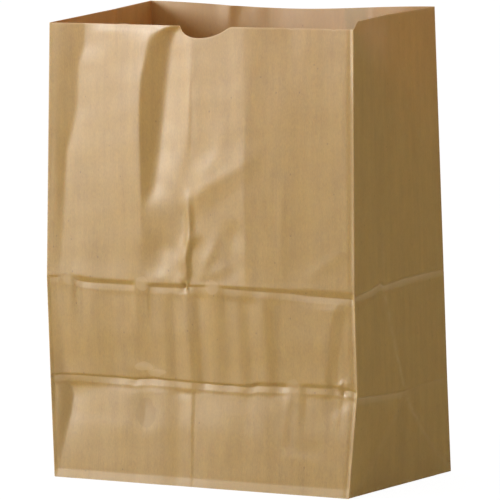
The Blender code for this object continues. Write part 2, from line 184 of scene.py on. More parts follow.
# The hem: a crease that the folded bottom leaves low in the front
HEM = 6.5
HEM_DEPTH = 0.65
HEM_LEAN = 34.0          # how far above the crease the front leans back to it
HEM_TOP = 8.0            # height up to which it is painted paler
PROUD_ENDS = 3.0         # the front's facets run on past its upright folds by this

# Small pleats and dents of the front, in millimetres. Each runs along its points (place, height,
# depth; a rib has a depth below 0) and fades over its two reaches: to the left of a line that
# runs down, or under one that runs right, and then to the other side. The last value says how
# it fades: 1 for a flat facet, and more for a crease whose sides curve.
FRONT_PLEATS = (
    # the thin step beside the valley's bright side
    (((-4.6, 318, 0.0), (-4.4, 300, 0.2), (-5.0, 262, 0.2), (-6.0, 240, 0.0)), 1.6, 8.0, 1.4),
    # sharp upright rib under the valley, and the curved one that goes on from it
    (((-6.8, 226, 0.0), (-6.0, 210, -1.6), (-5.6, 196, -2.0), (-5.6, 187, -1.4)), 6.5, 5.0, 1.3),
    (((3.6, 194, 0.0), (-0.9, 189.5, -1.5), (-5.4, 185, -2.2), (-7.8, 179, -2.4),
      (-8.9, 171, -2.4), (-7.6, 163, -2.0), (-11.2, 154.5, -0.9)), 9.0, 4.2, 1.1),
    # the bright slanting facet: a hollow above it and a rib below it
    (((-12.5, 199, 0.0), (-19.5, 192, 0.4), (-26.0, 185, 0.5), (-37.5, 174, 0.5),
      (-50.0, 165.5, 0.3), (-58, 162, 0.0)), 15.0, 18.0, 1.1),
    (((-12.0, 173, -0.2), (-20.0, 166, -0.3), (-30.0, 159, -0.3), (-40.0, 153, -0.1)),
     10.0, 12.0, 1.2),
    # the slanting rib from the long upright one to the sharp one
    (((40.0, 244, -0.8), (25.0, 236, -1.4), (10.0, 228.5, -1.6), (-3.0, 217.5, -0.9)),
     22.0, 16.0, 1.4),
    (((21.0, 275, 0.0), (19.0, 254, -0.5), (11.5, 243, -0.6), (2.0, 232, 0.0)), 14.0, 14.0, 1.6),
    # the fan under them
    (((18.5, 196, 0.0), (14.0, 181, -0.8), (8.8, 171.5, -0.9), (5.0, 161, -0.3)), 6.5, 5.5, 1.2),
    (((35.0, 172, 0.0), (27.0, 168, -0.5), (15.0, 163.5, -0.5), (5.0, 159, 0.0)), 6.0, 6.0, 1.2),
    (((32.5, 204, 0.0), (32.5, 194, 1.0), (30.0, 182, 0.8), (30.5, 166, 0.7), (32.0, 157, 0.0)),
     13.0, 11.0, 1.2),
    # the right half leans back a little towards the mouth
    (((40.0, 352, 0.8), (78.0, 352, 2.3), (124.0, 352, 1.6)), 62.0, 62.0, 1.2),
    # faint creases on the right half
    (((88.0, 158, 0.0), (99.0, 169, -0.40), (117, 181, -0.35), (124, 186, 0.0)), 7.0, 7.0, 1.4),
    (((70.5, 236, 0.0), (70.8, 210, -0.30), (71.0, 168, -0.25), (71.0, 158, 0.0)), 6.0, 6.0, 1.5),
    # the paper pushed out just over the low fold
    (((-61.0, 88.0, 0.0), (-56.0, 90.0, -0.3), (-46.0, 87.5, -0.4), (-36.0, 84.0, -0.3),
      (-30.0, 82.0, 0.0)), 9.0, 4.0, 1.0),
    # short creases at the low fold's right end
    (((108.5, 102, 0.0), (107.6, 92, 0.8), (107.4, 83, 0.9)), 3.0, 2.0, 1.2),
    (((112.5, 81.0, -0.5), (116.0, 85.5, -1.0), (116.6, 78.0, 1.2), (118.0, 75.5, 0.4)),
     2.2, 2.2, 1.2),
    (((118.5, 85.5, -0.4), (122.0, 86.5, -0.45), (126.5, 85.5, -0.2)), 4.0, 4.0, 1.3),
    # the crumpled corner, and the crease that leaves it
    (((128.0, 75.3, -0.6), (133.5, 79.0, -0.9)), 3.0, 1.8, 1.2),
    (((131.0, 76.0, 2.0), (135.0, 72.0, 2.0)), 2.6, 2.6, 1.2),
    (((129.0, 75.0, 0.2), (118.0, 69.3, 0.5), (109.5, 64.0, 0.6), (106.0, 60.0, 0.2)),
     14.0, 5.0, 1.0),
    # the shallow oval dent, and the rounded end of the facet right of it
    (((-48.5, 60.0, 0.8), (-48.5, 48.0, 0.8)), 15.0, 13.0, 1.3),
    (((-27.0, 64.5, 0.1), (-25.5, 68.0, 0.3), (-21.0, 70.0, 0.4), (-8.0, 69.5, 0.2)),
     3.0, 3.0, 1.2),
    # crumples of the level folds
    (((-60.5, 82.5, 0.1), (-57.0, 78.0, 0.4), (-61.0, 72.5, 0.2)), 1.5, 6.0, 1.0),
    (((-12.5, 156.5, 0.0), (-9.5, 153.5, 1.6), (-11.5, 150.0, 0.6), (-8.5, 146.5, 0.2)),
     2.0, 2.0, 1.2),
    (((-6.5, 158.0, 0.0), (-8.6, 152.0, -1.4), (-8.2, 143.0, -0.2)), 2.0, 1.6, 1.2),
    # a broad shallow dent low on the right, with the rib under it
    (((60.0, 64.0, 0.0), (61.0, 44.0, 0.45), (66.0, 36.0, 0.45), (98.0, 33.0, 0.45),
      (104.0, 38.0, 0.2)), 9.0, 18.0, 1.4),
    (((76.0, 28.5, -0.25), (95.0, 25.5, -0.25)), 4.0, 4.0, 1.5),
    (((74.0, 70.0, 0.0), (75.0, 62.0, 0.5), (75.5, 40.0, 0.4), (75.5, 33.0, 0.0)), 6.0, 5.0, 1.3),
)

# Patches of the front with a clear outline, in millimetres: (place, height, half width, half
# height, amount). Pale ones are partly rubbed paper and partly painted highlight, and the three
# broad faint ones low on the front are painted sheen. Dark ones are painted shade, and duller.
RUBBED_AND_SHEEN_PATCHES = (
    (-111.5, 153.0, 7.5, 5.0, 0.30), (-48.5, 152.5, 6.0, 5.0, 0.42), (12.5, 152.5, 6.2, 5.5, 0.42),
    (-50.0, 89.0, 8.0, 3.2, 0.50), (-39.0, 85.0, 8.0, 2.8, 0.42), (78.0, 81.5, 6.0, 5.0, 0.35),
    (122.0, 86.0, 3.6, 3.0, 0.35), (79.0, 157.5, 23.0, 2.2, 0.10), (-17.0, 60.0, 11.0, 10.0, 0.12),
    (7.0, 57.0, 10.0, 11.0, 0.12), (31.0, 62.0, 12.0, 6.0, 0.12),
)
SHADE_PATCHES = (
    (-48.5, 53.5, 8.5, 11.0, 0.55), (-133.0, 55.0, 22.5, 43.0, 0.35), (83.0, 50.0, 21.0, 19.0, 0.22),
    (-30.0, 40.0, 4.5, 20.0, 0.12),
)
WANDER = 5.0             # how far their edges wander from a plain oval
PATCH_PLANE = -85.0      # the front's plane, which they lie on
PATCH_REACH = 20.0       # how far in front of it and behind it they reach

# Upright folds of the side panels, in millimetres, from the front to the back. A gusset's centre
# crease leans in. The right one is nearly pressed flat, the left one still folds.
RIGHT_FOLDS = (
    ((353, -60.0, 0.9, 9.0), (250, -58.0, 0.5, 9.0), (160, -50.0, 0.1, 9.0),
     (75, -45.0, 0.0, 9.0)),
    ((357, -6.0, 5.0, 2.5), (250, -18.0, 2.5, 2.5), (160, -29.0, 0.9, 2.5),
     (153, -28.0, 0.7, 2.5), (122, -18.0, 0.5, 2.5), (96, -7.5, 0.3, 2.5), (74, 2.0, 0.0, 2.5)),
    ((358, 45.0, 2.6, 9.0), (250, 35.0, 1.4, 9.0), (160, 30.0, 0.3, 9.0), (75, 30.0, 0.0, 9.0)),
)
LEFT_FOLDS = (
    ((356, -2.0, 14.5, 2.0), (250, -2.0, 7.0, 2.0), (160, -1.0, 2.2, 2.0), (110, 0.0, 0.8, 2.0),
     (76, 0.0, 0.0, 2.0)),
)
SIDE_PRESS = ((-90, 149.5, 0.5, 1.6), (-78, 150.5, 0.8, 1.6), (-54, 152.5, 1.0, 1.8),
              (-33, 156.2, 1.0, 2.2), (-28, 153.6, 1.1, 2.6), (12, 156.0, 1.1, 2.2),
              (60, 156.8, 0.9, 1.8), (90, 157.0, 0.6, 1.6))
SIDE_LOW = ((-90, 74.5, 0.8, 1.5), (-66, 74.2, 0.8, 1.5), (-27, 71.8, 0.7, 1.5),
            (3, 71.0, 0.6, 1.5), (12, 71.5, 0.12, 1.5), (50, 72.8, 0.15, 1.5),
            (90, 73.5, 0.3, 1.5))
GUSSET_SLANTS = (
    (((3.0, 72, -0.5), (18.0, 54, -0.7), (50.0, 28, -0.6), (84.0, 1, -0.2)), 7.0, 7.0),
    (((-84.0, 1, -0.2), (-50.0, 28, -0.6), (-18.0, 54, -0.7), (3.0, 72, -0.5)), 7.0, 7.0),
)

# Where the sides are painted paler: rubbed paper and painted highlight along their creases, and
# painted light near the mouth, where the side leans in under the light. Points (place, height,
# amount), and how far the paleness reaches from them
SIDE_RUBS_AND_HIGHLIGHTS = (
    (((-30, 200, 0.0), (-28, 166, 0.4), (-28, 153, 0.6), (-18, 122, 0.55), (-8, 96, 0.45),
      (2.6, 72, 0.45)), 1.6),
    (((5, 69, 0.4), (18, 54, 0.6), (50, 28, 0.5), (84, 1, 0.2)), 1.6),
    (((-84, 1, 0.0), (-50, 28, 0.12), (-18, 54, 0.15), (3, 72, 0.15)), 1.6),
    (((-80, 352, 0.12), (-50, 346, 0.34), (-22, 340, 0.28), (16, 346, 0.0)), 30.0),
)

# The back panel: faint upright folds, its level folds, and the crumple in its top edge
BACK_FOLDS = (
    ((356, -96.0, 1.3, 6), (153, -100.0, 0.9, 6), (60, -98.0, -0.4, 8), (0, -98.0, 0.0, 8)),
    ((356, -52.0, -1.4, 5), (153, -46.0, -1.0, 5), (60, -50.0, 0.2, 8), (0, -50.0, 0.0, 8)),
    ((356, -12.0, -4.0, 6), (153, -4.0, -0.2, 6), (60, -6.0, -1.2, 6), (0, -6.0, -0.4, 8)),
    ((356, 26.0, -1.4, 4), (153, 22.0, -1.4, 4), (60, 24.0, 0.1, 6), (0, 24.0, 0.0, 8)),
    ((356, 48.5, 0.4, 0.8), (153, 48.5, -0.6, 0.8), (60, 48.5, -1.0, 0.8), (0, 48.5, -0.3, 0.8)),
    ((356, 70.5, 1.8, 0.8), (153, 70.5, -0.9, 0.8), (60, 70.5, -1.1, 0.8), (0, 70.5, -0.4, 0.8)),
    ((356, 74.0, 2.4, 0.8), (153, 74.0, -0.2, 0.8), (60, 74.0, -0.4, 0.8), (0, 74.0, 0.0, 0.8)),
    ((356, 106.0, 3.6, 4), (153, 102.0, 0.5, 6), (60, 100.0, -0.5, 8), (0, 100.0, 0.0, 8)),
)
BACK_PRESS = ((-135, 154.0, 1.0, 2.2), (-60, 152.5, 1.3, 2.4), (-12, 153.5, 0.5, 2.0),
              (40, 152.5, 1.3, 3.0), (135, 154.0, 1.0, 2.2))
BACK_LOW = ((-135, 77.5, 1.0, 1.8), (-70, 79.0, 1.2, 2.0), (0, 78.0, 0.9, 2.0),
            (30, 79.5, 1.2, 2.2), (135, 77.5, 1.0, 1.8))
BACK_PLEATS = (
    (((-53.0, 360, 3.4), (-56.0, 347, 1.4), (-58.0, 330, 0.5), (-60.0, 300, 0.0)), 12.0, 9.0),
    (((-31.0, 360, 1.5), (-29.5, 350, 0.8), (-27.0, 336, 0.0)), 6.0, 4.5),
    (((6.0, 262, 0.0), (24.0, 214, 1.3), (44.0, 176, 0.8), (50.0, 160, 0.0)), 12.0, 9.0),
    (((-30.0, 300, 0.0), (-38.0, 250, -1.0), (-34.0, 200, 0.0)), 14.0, 8.0),
    (((-110.0, 136, 0.0), (-88.0, 116, 1.0), (-64.0, 90, 0.0)), 10.0, 8.0),
    (((92.0, 214, 0.0), (104.0, 190, 0.8), (118.0, 160, 0.2)), 9.0, 7.0),
    (((10.0, 70, 0.0), (22.0, 44, 0.8), (28.0, 12, 0.0)), 11.0, 9.0),
)

# The studio: a soft box, the share of the ambient light that gloss sees, and the view
KEY_AZIMUTH = -49.0
KEY_ELEVATION = 19.0
KEY_DISTANCE = 3.0
KEY_SIZE = 1.1
GLOSSY_SHARE = 0.06
FLOOR_GAP = 0.0003
VIEW_AZIMUTH = 28.47
VIEW_ELEVATION = 5.22
VIEW_DISTANCE = 3.598
VIEW_TARGET = (-0.00257, 0.0, 0.17296)
VIEW_LENS = 337.8


def linear(code):
    """An sRGB hex colour as the linear values that a shader takes."""
    channels = [int(code[i:i + 2], 16) / 255 for i in (1, 3, 5)]
    return tuple(c / 12.92 if c <= 0.04045 else ((c + 0.055) / 1.055) ** 2.4 for c in channels)


class PaperBagSizes(bpy.types.PropertyGroup):
    width: FloatProperty(
        name="Width", default=0.257, unit="LENGTH",
        description="Front and back panels, between their upright folds")
    depth: FloatProperty(
        name="Depth", default=0.170, unit="LENGTH",
        description="Side panels, between their upright folds")
    paper: FloatProperty(
        name="Paper", default=0.0002, unit="LENGTH",
        description="Thickness of the kraft paper")
    fold_radius: FloatProperty(
        name="Fold radius", default=0.0005, unit="LENGTH",
        description="Radius of the four upright folds, outside")
    lip: FloatProperty(
        name="Fold lip", default=0.00035, unit="LENGTH",
        description="How far the paper stands proud beside the front's right fold")
    cockle: FloatProperty(
        name="Cockle", default=0.00008, unit="LENGTH",
        description="Height of the slow swells in the paper")


class KraftColours(bpy.types.PropertyGroup):
    paper: FloatVectorProperty(
        name="Paper", subtype="COLOR", size=3, default=linear("#BB9751"),
        description="Unbleached kraft paper")
    fibre: FloatVectorProperty(
        name="Fibre", subtype="COLOR", size=3, default=linear("#A28044"),
        description="Darker fibres that run along the paper")
    # this pale colour also paints highlight along edges and folds, and light near the mouth
    pale_wear_and_highlight: FloatVectorProperty(
        name="Worn", subtype="COLOR", size=3, default=linear("#C9AB7C"),
        description="Paler paper where a fold or a cut edge is rubbed")
    bark: FloatVectorProperty(
        name="Bark", subtype="COLOR", size=3, default=linear("#6E4F2A"),
        description="Bark specks in the pulp")


class BagStudio(bpy.types.PropertyGroup):
    key_power: FloatProperty(
        name="Key power", default=61.0, unit="POWER",
        description="Soft box at the front left")
    ambient: FloatProperty(
        name="Ambient", default=0.69,
        description="Strength of the plain light from all round")


# Stations and sections

def graded(low, high, coarse, fine, places, reach):
    """Stations from low to high: fine steps beside each place, growing to coarse ones."""
    ruler = np.linspace(low, high, 4001)
    gap = np.min(np.abs(ruler[:, None] - np.array(places, float)[None, :]), axis=1)
    density = 1 / (fine + (coarse - fine) * np.clip((gap - 1.5 * fine) / reach, 0, 1))
    walked = np.concatenate(([0.0], np.cumsum((density[1:] + density[:-1]) / 2 * np.diff(ruler))))
    count = max(1, round(walked[-1]))
    return np.interp(np.linspace(0, walked[-1], count + 1), walked, ruler)


def ease(value, start, end):
    """0 before start, 1 after end, and a smooth rise between them."""
    share = np.clip((value - start) / (end - start), 0, 1)
    return share * share * (3 - 2 * share)


def rising(value, stations, column):
    """One column of a fold's stations, read at a height."""
    table = np.array(sorted(stations), float)
    return np.interp(value, table[:, 0], table[:, column])


WINDOW = ((-1.0, 0.12), (-0.6, 0.22), (0.0, 0.32), (0.6, 0.22), (1.0, 0.12))


def facets(across, height, folds, ends):
    """The depth of a panel that lies straight between its upright folds, softened at each."""
    crisp = 0.5
    lines = [[np.full_like(across, value) for value in (ends[0], 0.0, crisp)]]
    lines += [[rising(height, fold, column) for column in (1, 2, 3)] for fold in folds]
    lines += [[np.full_like(across, value) for value in (ends[1], 0.0, crisp)]]
    places, depths, softness = (np.array(values) for values in zip(*lines))
    nearest = np.argmin(np.abs(places - across), axis=0)
    soft = np.take_along_axis(softness, nearest[None], axis=0)[0]
    total = np.zeros_like(across)
    for offset, weight in WINDOW:
        at = across + offset * soft
        depth = np.zeros_like(across)
        for left, right, near, far in zip(places, places[1:], depths, depths[1:]):
            inside = (at >= left) & (at < right)
            share = np.clip((at - left) / np.maximum(right - left, TOLERANCE), 0, 1)
            depth = np.where(inside, near + (far - near) * share, depth)
        total += weight * depth
    return total


def level_fold(across, height, line, spread=STRIP_SPREAD, ledge=0.0):
    """The depth that a level fold adds: a lip, a step in under it, and a strip that leans out.

    Under the strip there may be a ledge, where the paper steps back in by a share of the depth.
    """
    table = np.array(line, float)
    middle, depth, step = (np.interp(across, table[:, 0], table[:, i]) for i in (1, 2, 3))
    off = height - middle
    lip = -LIP * np.clip(1 - (off - step) / LIP_SPREAD, 0, 1)
    above = np.where(off > step, lip, 1 - (1 + LIP) * off / step)
    below = np.interp(off, (-BRIGHT_STRIP - spread, -BRIGHT_STRIP - LEDGE, -BRIGHT_STRIP, 0),
                      (0, STRIP_FOOT + ledge, STRIP_FOOT, 1))
    return depth * np.where(off > 0, above, below)


def above_fold(across, height, line):
    """1 above a level fold, 0 well under it, and the share between them as one zone meets the next."""
    table = np.array(line, float)
    return np.clip(1 + (height - np.interp(across, table[:, 0], table[:, 1])) / ZONE_BLEND, 0, 1)


def row_shift(across, height, line, nominal):
    """How far a row of the sheet moves to follow a level fold."""
    table = np.array(line, float)
    shift = np.interp(across, table[:, 0], table[:, 1]) - nominal
    full, none = 6.0, 34.0
    return shift * np.clip((none - np.abs(height - nominal)) / (none - full), 0, 1)


def pleat(across, height, points, near_reach, far_reach, power=1.5):
    """A small crease along a line: sharp on it, and fading over its reach on either side."""
    best = np.full_like(across, np.inf)
    value = np.zeros_like(across)
    for (x0, z0, d0), (x1, z1, d1) in zip(points, points[1:]):
        run_x, run_z = x1 - x0, z1 - z0
        length = math.hypot(run_x, run_z)
        share = np.clip(((across - x0) * run_x + (height - z0) * run_z) / length ** 2, 0, 1)
        off_x, off_z = across - x0 - share * run_x, height - z0 - share * run_z
        distance = np.hypot(off_x, off_z)
        side = run_x * off_z - run_z * off_x
        reach = np.where(side > 0, far_reach, near_reach)
        fade = np.clip(1 - distance / reach, 0, 1) ** power
        closer = distance < best
        best = np.where(closer, distance, best)
        value = np.where(closer, (d0 + (d1 - d0) * share) * fade, value)
    return value


def cockle(across, height, seed, length):
    """Slow swells of the paper, a little longer upright than across: about 1 at most."""
    draws = np.random.default_rng(seed)
    total = np.zeros_like(across)
    count = 7
    for _ in range(count):
        wave = length * draws.uniform(0.6, 1.8)
        lean = draws.normal(0.0, 0.55)
        phase = draws.uniform(0, 2 * math.pi)
        total += np.sin(2 * math.pi * (across * math.cos(lean) + height * math.sin(lean)) / wave
                        + phase) / math.sqrt(count)
    return total


# The four panels, in millimetres: how far each lies behind its plain face

def front_depth(x, z, sizes):
    half = sizes.width / MM / 2
    ends = (-half - PROUD_ENDS, half + PROUD_ENDS)
    over_press, over_low = above_fold(x, z, PRESS_FOLD), above_fold(x, z, LOW_FOLD_LINE)
    depth = facets(x, z, FRONT_UPPER, ends) * over_press
    depth += facets(x, z, FRONT_BAND, ends) * (1 - over_press) * over_low
    depth += facets(x, z, FRONT_LOWER, ends) * (1 - over_low)
    depth += level_fold(x, z, PRESS_FOLD)
    depth += level_fold(x, z, LOW_FOLD_LINE, ledge=LOW_LEDGE)
    for points, near_reach, far_reach, power in FRONT_PLEATS:
        depth += pleat(x, z, points, near_reach, far_reach, power)
    depth += HEM_DEPTH * np.clip(1 - np.abs(z - HEM) / np.where(z < HEM, HEM, HEM_LEAN), 0, 1)
    # the cut edge curls in between the two facets at the left
    curl = 0.7 * ease(z, 341.5, 349.0) * ease(x, -98, -84) * (1 - ease(x, -36, -28))
    return depth + curl


def side_depth(y, z, sizes, folds):
    half = sizes.depth / MM / 2
    apex = GUSSET_APEX / MM
    depth = facets(y, z, folds, (-half, half)) * ease(z, apex - 2, apex + 2)
    depth += level_fold(y, z, SIDE_PRESS, SIDE_SPREAD)
    depth += level_fold(y, z, SIDE_LOW, SIDE_SPREAD)
    for points, near_reach, far_reach in GUSSET_SLANTS:
        depth += pleat(y, z, points, near_reach, far_reach)
    return depth


def back_depth(x, z, sizes):
    half = sizes.width / MM / 2
    depth = facets(x, z, BACK_FOLDS, (-half, half))
    depth += level_fold(x, z, BACK_PRESS)
    depth += level_fold(x, z, BACK_LOW)
    for points, near_reach, far_reach in BACK_PLEATS:
        depth += pleat(x, z, points, near_reach, far_reach)
    return depth


# The solid's own corners and mouth, which the sheet follows

def upright_folds():
    """Where the solid's four upright folds stand at each crease level: points per corner."""
    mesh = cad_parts[NODE].data
    points = np.zeros(len(mesh.vertices) * 3)
    mesh.vertices.foreach_get("co", points)
    points = points.reshape(-1, 3)
    found = {}
    for side in (-1, 1):
        for face in (-1, 1):
            top = FRONT_TOP if face < 0 else TOP
            stations = []
            for level in (0.0, LOW_FOLD, PRESS_LINE, top):
                near = points[np.abs(points[:, 2] - level) < LEVEL_REACH]
                stations.append(near[np.argmax(side * near[:, 0] + face * near[:, 1])])
            found[(side, face)] = np.array(stations)
    return found


def at_height(stations, z):
    """A corner's place on the plan at each height."""
    return np.stack([np.interp(z, stations[:, 2], stations[:, axis]) for axis in (0, 1)], axis=1)


def notch_cut(x):
    """How far the thumb notch goes below the front's top edge: steep left, shallow right."""
    across = x - NOTCH_DEEPEST
    left = np.sqrt(np.clip(1 - (across / NOTCH_LEFT_REACH) ** 2, 0, 1)) * NOTCH_DEPTH
    radius = (NOTCH_RIGHT_REACH ** 2 + NOTCH_DEPTH ** 2) / (2 * NOTCH_DEPTH)
    arc = np.sqrt(np.maximum(radius ** 2 - across ** 2, 0)) + NOTCH_DEPTH - radius
    return np.where(across < 0, left, np.maximum(arc, 0))


def front_edge(x):
    """Height of the front's cut edge, with its notch and nicks."""
    height = FRONT_TOP - notch_cut(x)
    for place, half_width, depth in EDGE_NICKS:
        height = height - depth * MM * np.clip(1 - np.abs(x / MM - place) / half_width, 0, 1)
    return height


def left_edge(share):
    """Height of the left side's cut edge, from the front fold (0) to the back one (1)."""
    bow = 2.6 * MM * (1 - np.abs(2 * share - 1))
    return FRONT_TOP + (TOP - FRONT_TOP) * share + bow


def right_edge(share):
    """The same on the right, where the side stands over the front at once."""
    lip = 5.5 * MM
    return FRONT_TOP + lip * ease(share, 0.0, 0.06) + (TOP - FRONT_TOP - lip) * share


def back_edge(share):
    sag = 4.0 * MM
    return TOP - sag * np.sin(np.pi * share) ** 2


# The sheet

def tube_walk(sizes):
    """Points round the flat-sided tube, from its lap seam all the way back to it."""
    half_w, half_d, radius = sizes.width / 2, sizes.depth / 2, sizes.fold_radius
    w_fine, d_fine = [half_w, -half_w], [half_d, -half_d]
    front = graded(-half_w, half_w, 2.7 * MM, 1.1 * MM,
                   w_fine + [place * MM for place in FRONT_CRISP], 9 * MM)
    right = graded(-half_d, half_d, 4.2 * MM, 1.2 * MM, d_fine, 9 * MM)
    left = graded(-half_d, half_d, 6.0 * MM, 1.2 * MM, d_fine + [0.0], 12 * MM)
    seam = [SEAM_NEAR, SEAM_NEAR - SEAM_LAP]
    back_left = graded(-half_w, seam[1], 5.5 * MM, 1.2 * MM, [-half_w, -0.050, seam[1]], 14 * MM)
    back_lap = graded(seam[1], seam[0], 6.0 * MM, 1.2 * MM, seam, 12 * MM)
    back_right = graded(seam[0], half_w, 6.0 * MM, 1.2 * MM, [seam[0], half_w], 12 * MM)

    def bend(centre, start):
        """The points of one rounded fold, clockwise seen from above."""
        return [(centre[0] + radius * math.cos(math.radians(start - step)),
                 centre[1] + radius * math.sin(math.radians(start - step)))
                for step in (0, 30, 60, 90)]

    walk = [(x, half_d) for x in back_right if x < half_w - radius - TOLERANCE]
    walk += bend((half_w - radius, half_d - radius), 90)
    walk += [(half_w, y) for y in right[::-1] if abs(y) < half_d - radius - TOLERANCE]
    walk += bend((half_w - radius, radius - half_d), 0)
    walk += [(x, -half_d) for x in front[::-1] if abs(x) < half_w - radius - TOLERANCE]
    walk += bend((radius - half_w, radius - half_d), -90)
    walk += [(-half_w, y) for y in left if abs(y) < half_d - radius - TOLERANCE]
    walk += bend((radius - half_w, half_d - radius), 180)
    walk += [(x, half_d) for x in back_left if x > radius - half_w + TOLERANCE]
    walk += [(x, half_d) for x in back_lap[1:]]
    return walk


def tube_rows(sizes):
    """Heights of the sheet's rows, close together at the hem and the level folds."""
    floor = 2 * sizes.paper
    step, strip = 2 * MM, -BRIGHT_STRIP * MM
    fine = [floor, 6.5 * MM, TOP]
    fine += [fold + offset for fold in (LOW_FOLD, PRESS_LINE) for offset in (strip, 0.0, step)]
    return graded(floor, TOP, 3.4 * MM, 0.55 * MM, fine, 10 * MM)


def rolled_tube(mesh, sizes):
    """A flat grid of paper, rolled into the bag's four-sided tube and joined at its seam."""
    walk, rows = tube_walk(sizes), tube_rows(sizes)
    columns, levels = len(walk) - 1, len(rows) - 1
    bmesh.ops.create_grid(mesh, x_segments=columns, y_segments=levels, size=0.5)
    for vert in mesh.verts:
        x, y = walk[round((vert.co.x + 0.5) * columns)]
        vert.co = (x, y, rows[round((vert.co.y + 0.5) * levels)])
    bmesh.ops.remove_doubles(mesh, verts=mesh.verts, dist=TOLERANCE)


def facing(mesh, direction):
    """The faces that look along a direction."""
    mesh.normal_update()
    return [face for face in mesh.faces if face.normal.dot(Vector(direction)) > 0.9]


def close_floor(mesh):
    """One flat face across the tube's lower end."""
    low = min(vert.co.z for vert in mesh.verts)
    rim = [edge for edge in mesh.edges if all(abs(v.co.z - low) < TOLERANCE for v in edge.verts)]
    bmesh.ops.edgeloop_fill(mesh, edges=rim)
    bmesh.ops.recalc_face_normals(mesh, faces=mesh.faces)


def score(mesh, faces, place, normal):
    """Cut a straight line into some faces, as a scoring wheel marks a sheet."""
    edges = {edge for face in faces for edge in face.edges}
    verts = {vert for face in faces for vert in face.verts}
    bmesh.ops.bisect_plane(
        mesh, geom=[*verts, *edges, *faces], dist=TOLERANCE, plane_co=place, plane_no=normal)


def add_ply(mesh, faces, offset):
    """Paste one more thickness of paper on some faces."""
    grown = bmesh.ops.extrude_face_region(mesh, geom=faces)["geom"]
    verts = [item for item in grown if isinstance(item, bmesh.types.BMVert)]
    bmesh.ops.translate(mesh, verts=verts, vec=offset)
    bmesh.ops.delete(mesh, geom=faces, context="FACES")


def fold_bottom(mesh, sizes):
    """Block bottom: tucked end triangles, the back flap over them, and the front flap on top."""
    width, depth, floor = sizes.width, sizes.depth, 2 * sizes.paper
    for side in (-1, 1):
        for end in (-1, 1):
            score(mesh, facing(mesh, (0, 0, -1)), (side * width / 2, end * depth / 2, floor),
                  (side, -end, 0))
    score(mesh, facing(mesh, (0, 0, -1)), (0, BOTTOM_LAP / 2, floor), (0, 1, 0))

    def under(face, end):
        middle = face.calc_center_median()
        return width / 2 - abs(middle.x) > depth / 2 - end * middle.y

    def in_front(face):
        return under(face, -1) and face.calc_center_median().y < BOTTOM_LAP / 2

    flaps = [face for face in facing(mesh, (0, 0, -1)) if in_front(face) or under(face, 1)]
    add_ply(mesh, flaps, (0, 0, -sizes.paper))
    lower = [face for face in facing(mesh, (0, 0, -1))
             if face.calc_center_median().z < floor - sizes.paper / 2 and in_front(face)]
    add_ply(mesh, lower, (0, 0, -sizes.paper))


def paste_seam(mesh, sizes):
    """The tube's lap seam, where the sheet's two upright edges are pasted together."""
    lap = [face for face in facing(mesh, (0, 1, 0))
           if face.calc_center_median().y > 0
           and SEAM_NEAR - SEAM_LAP < face.calc_center_median().x < SEAM_NEAR]
    add_ply(mesh, lap, (0, sizes.paper, 0))


def wall_verts(mesh, sizes):
    """For each point, whether it belongs to a wall and not to the floor."""
    mesh.normal_update()
    floor, near = 2 * sizes.paper, 3 * sizes.paper
    walls = {vert for face in mesh.faces if abs(face.normal.z) < 0.5 for vert in face.verts}
    half_w, half_d = sizes.width / 2, sizes.depth / 2
    return np.array([
        vert.co.z > floor + 2 * sizes.paper
        or (vert in walls and (half_w - abs(vert.co.x) < near or half_d - abs(vert.co.y) < near))
        for vert in mesh.verts])


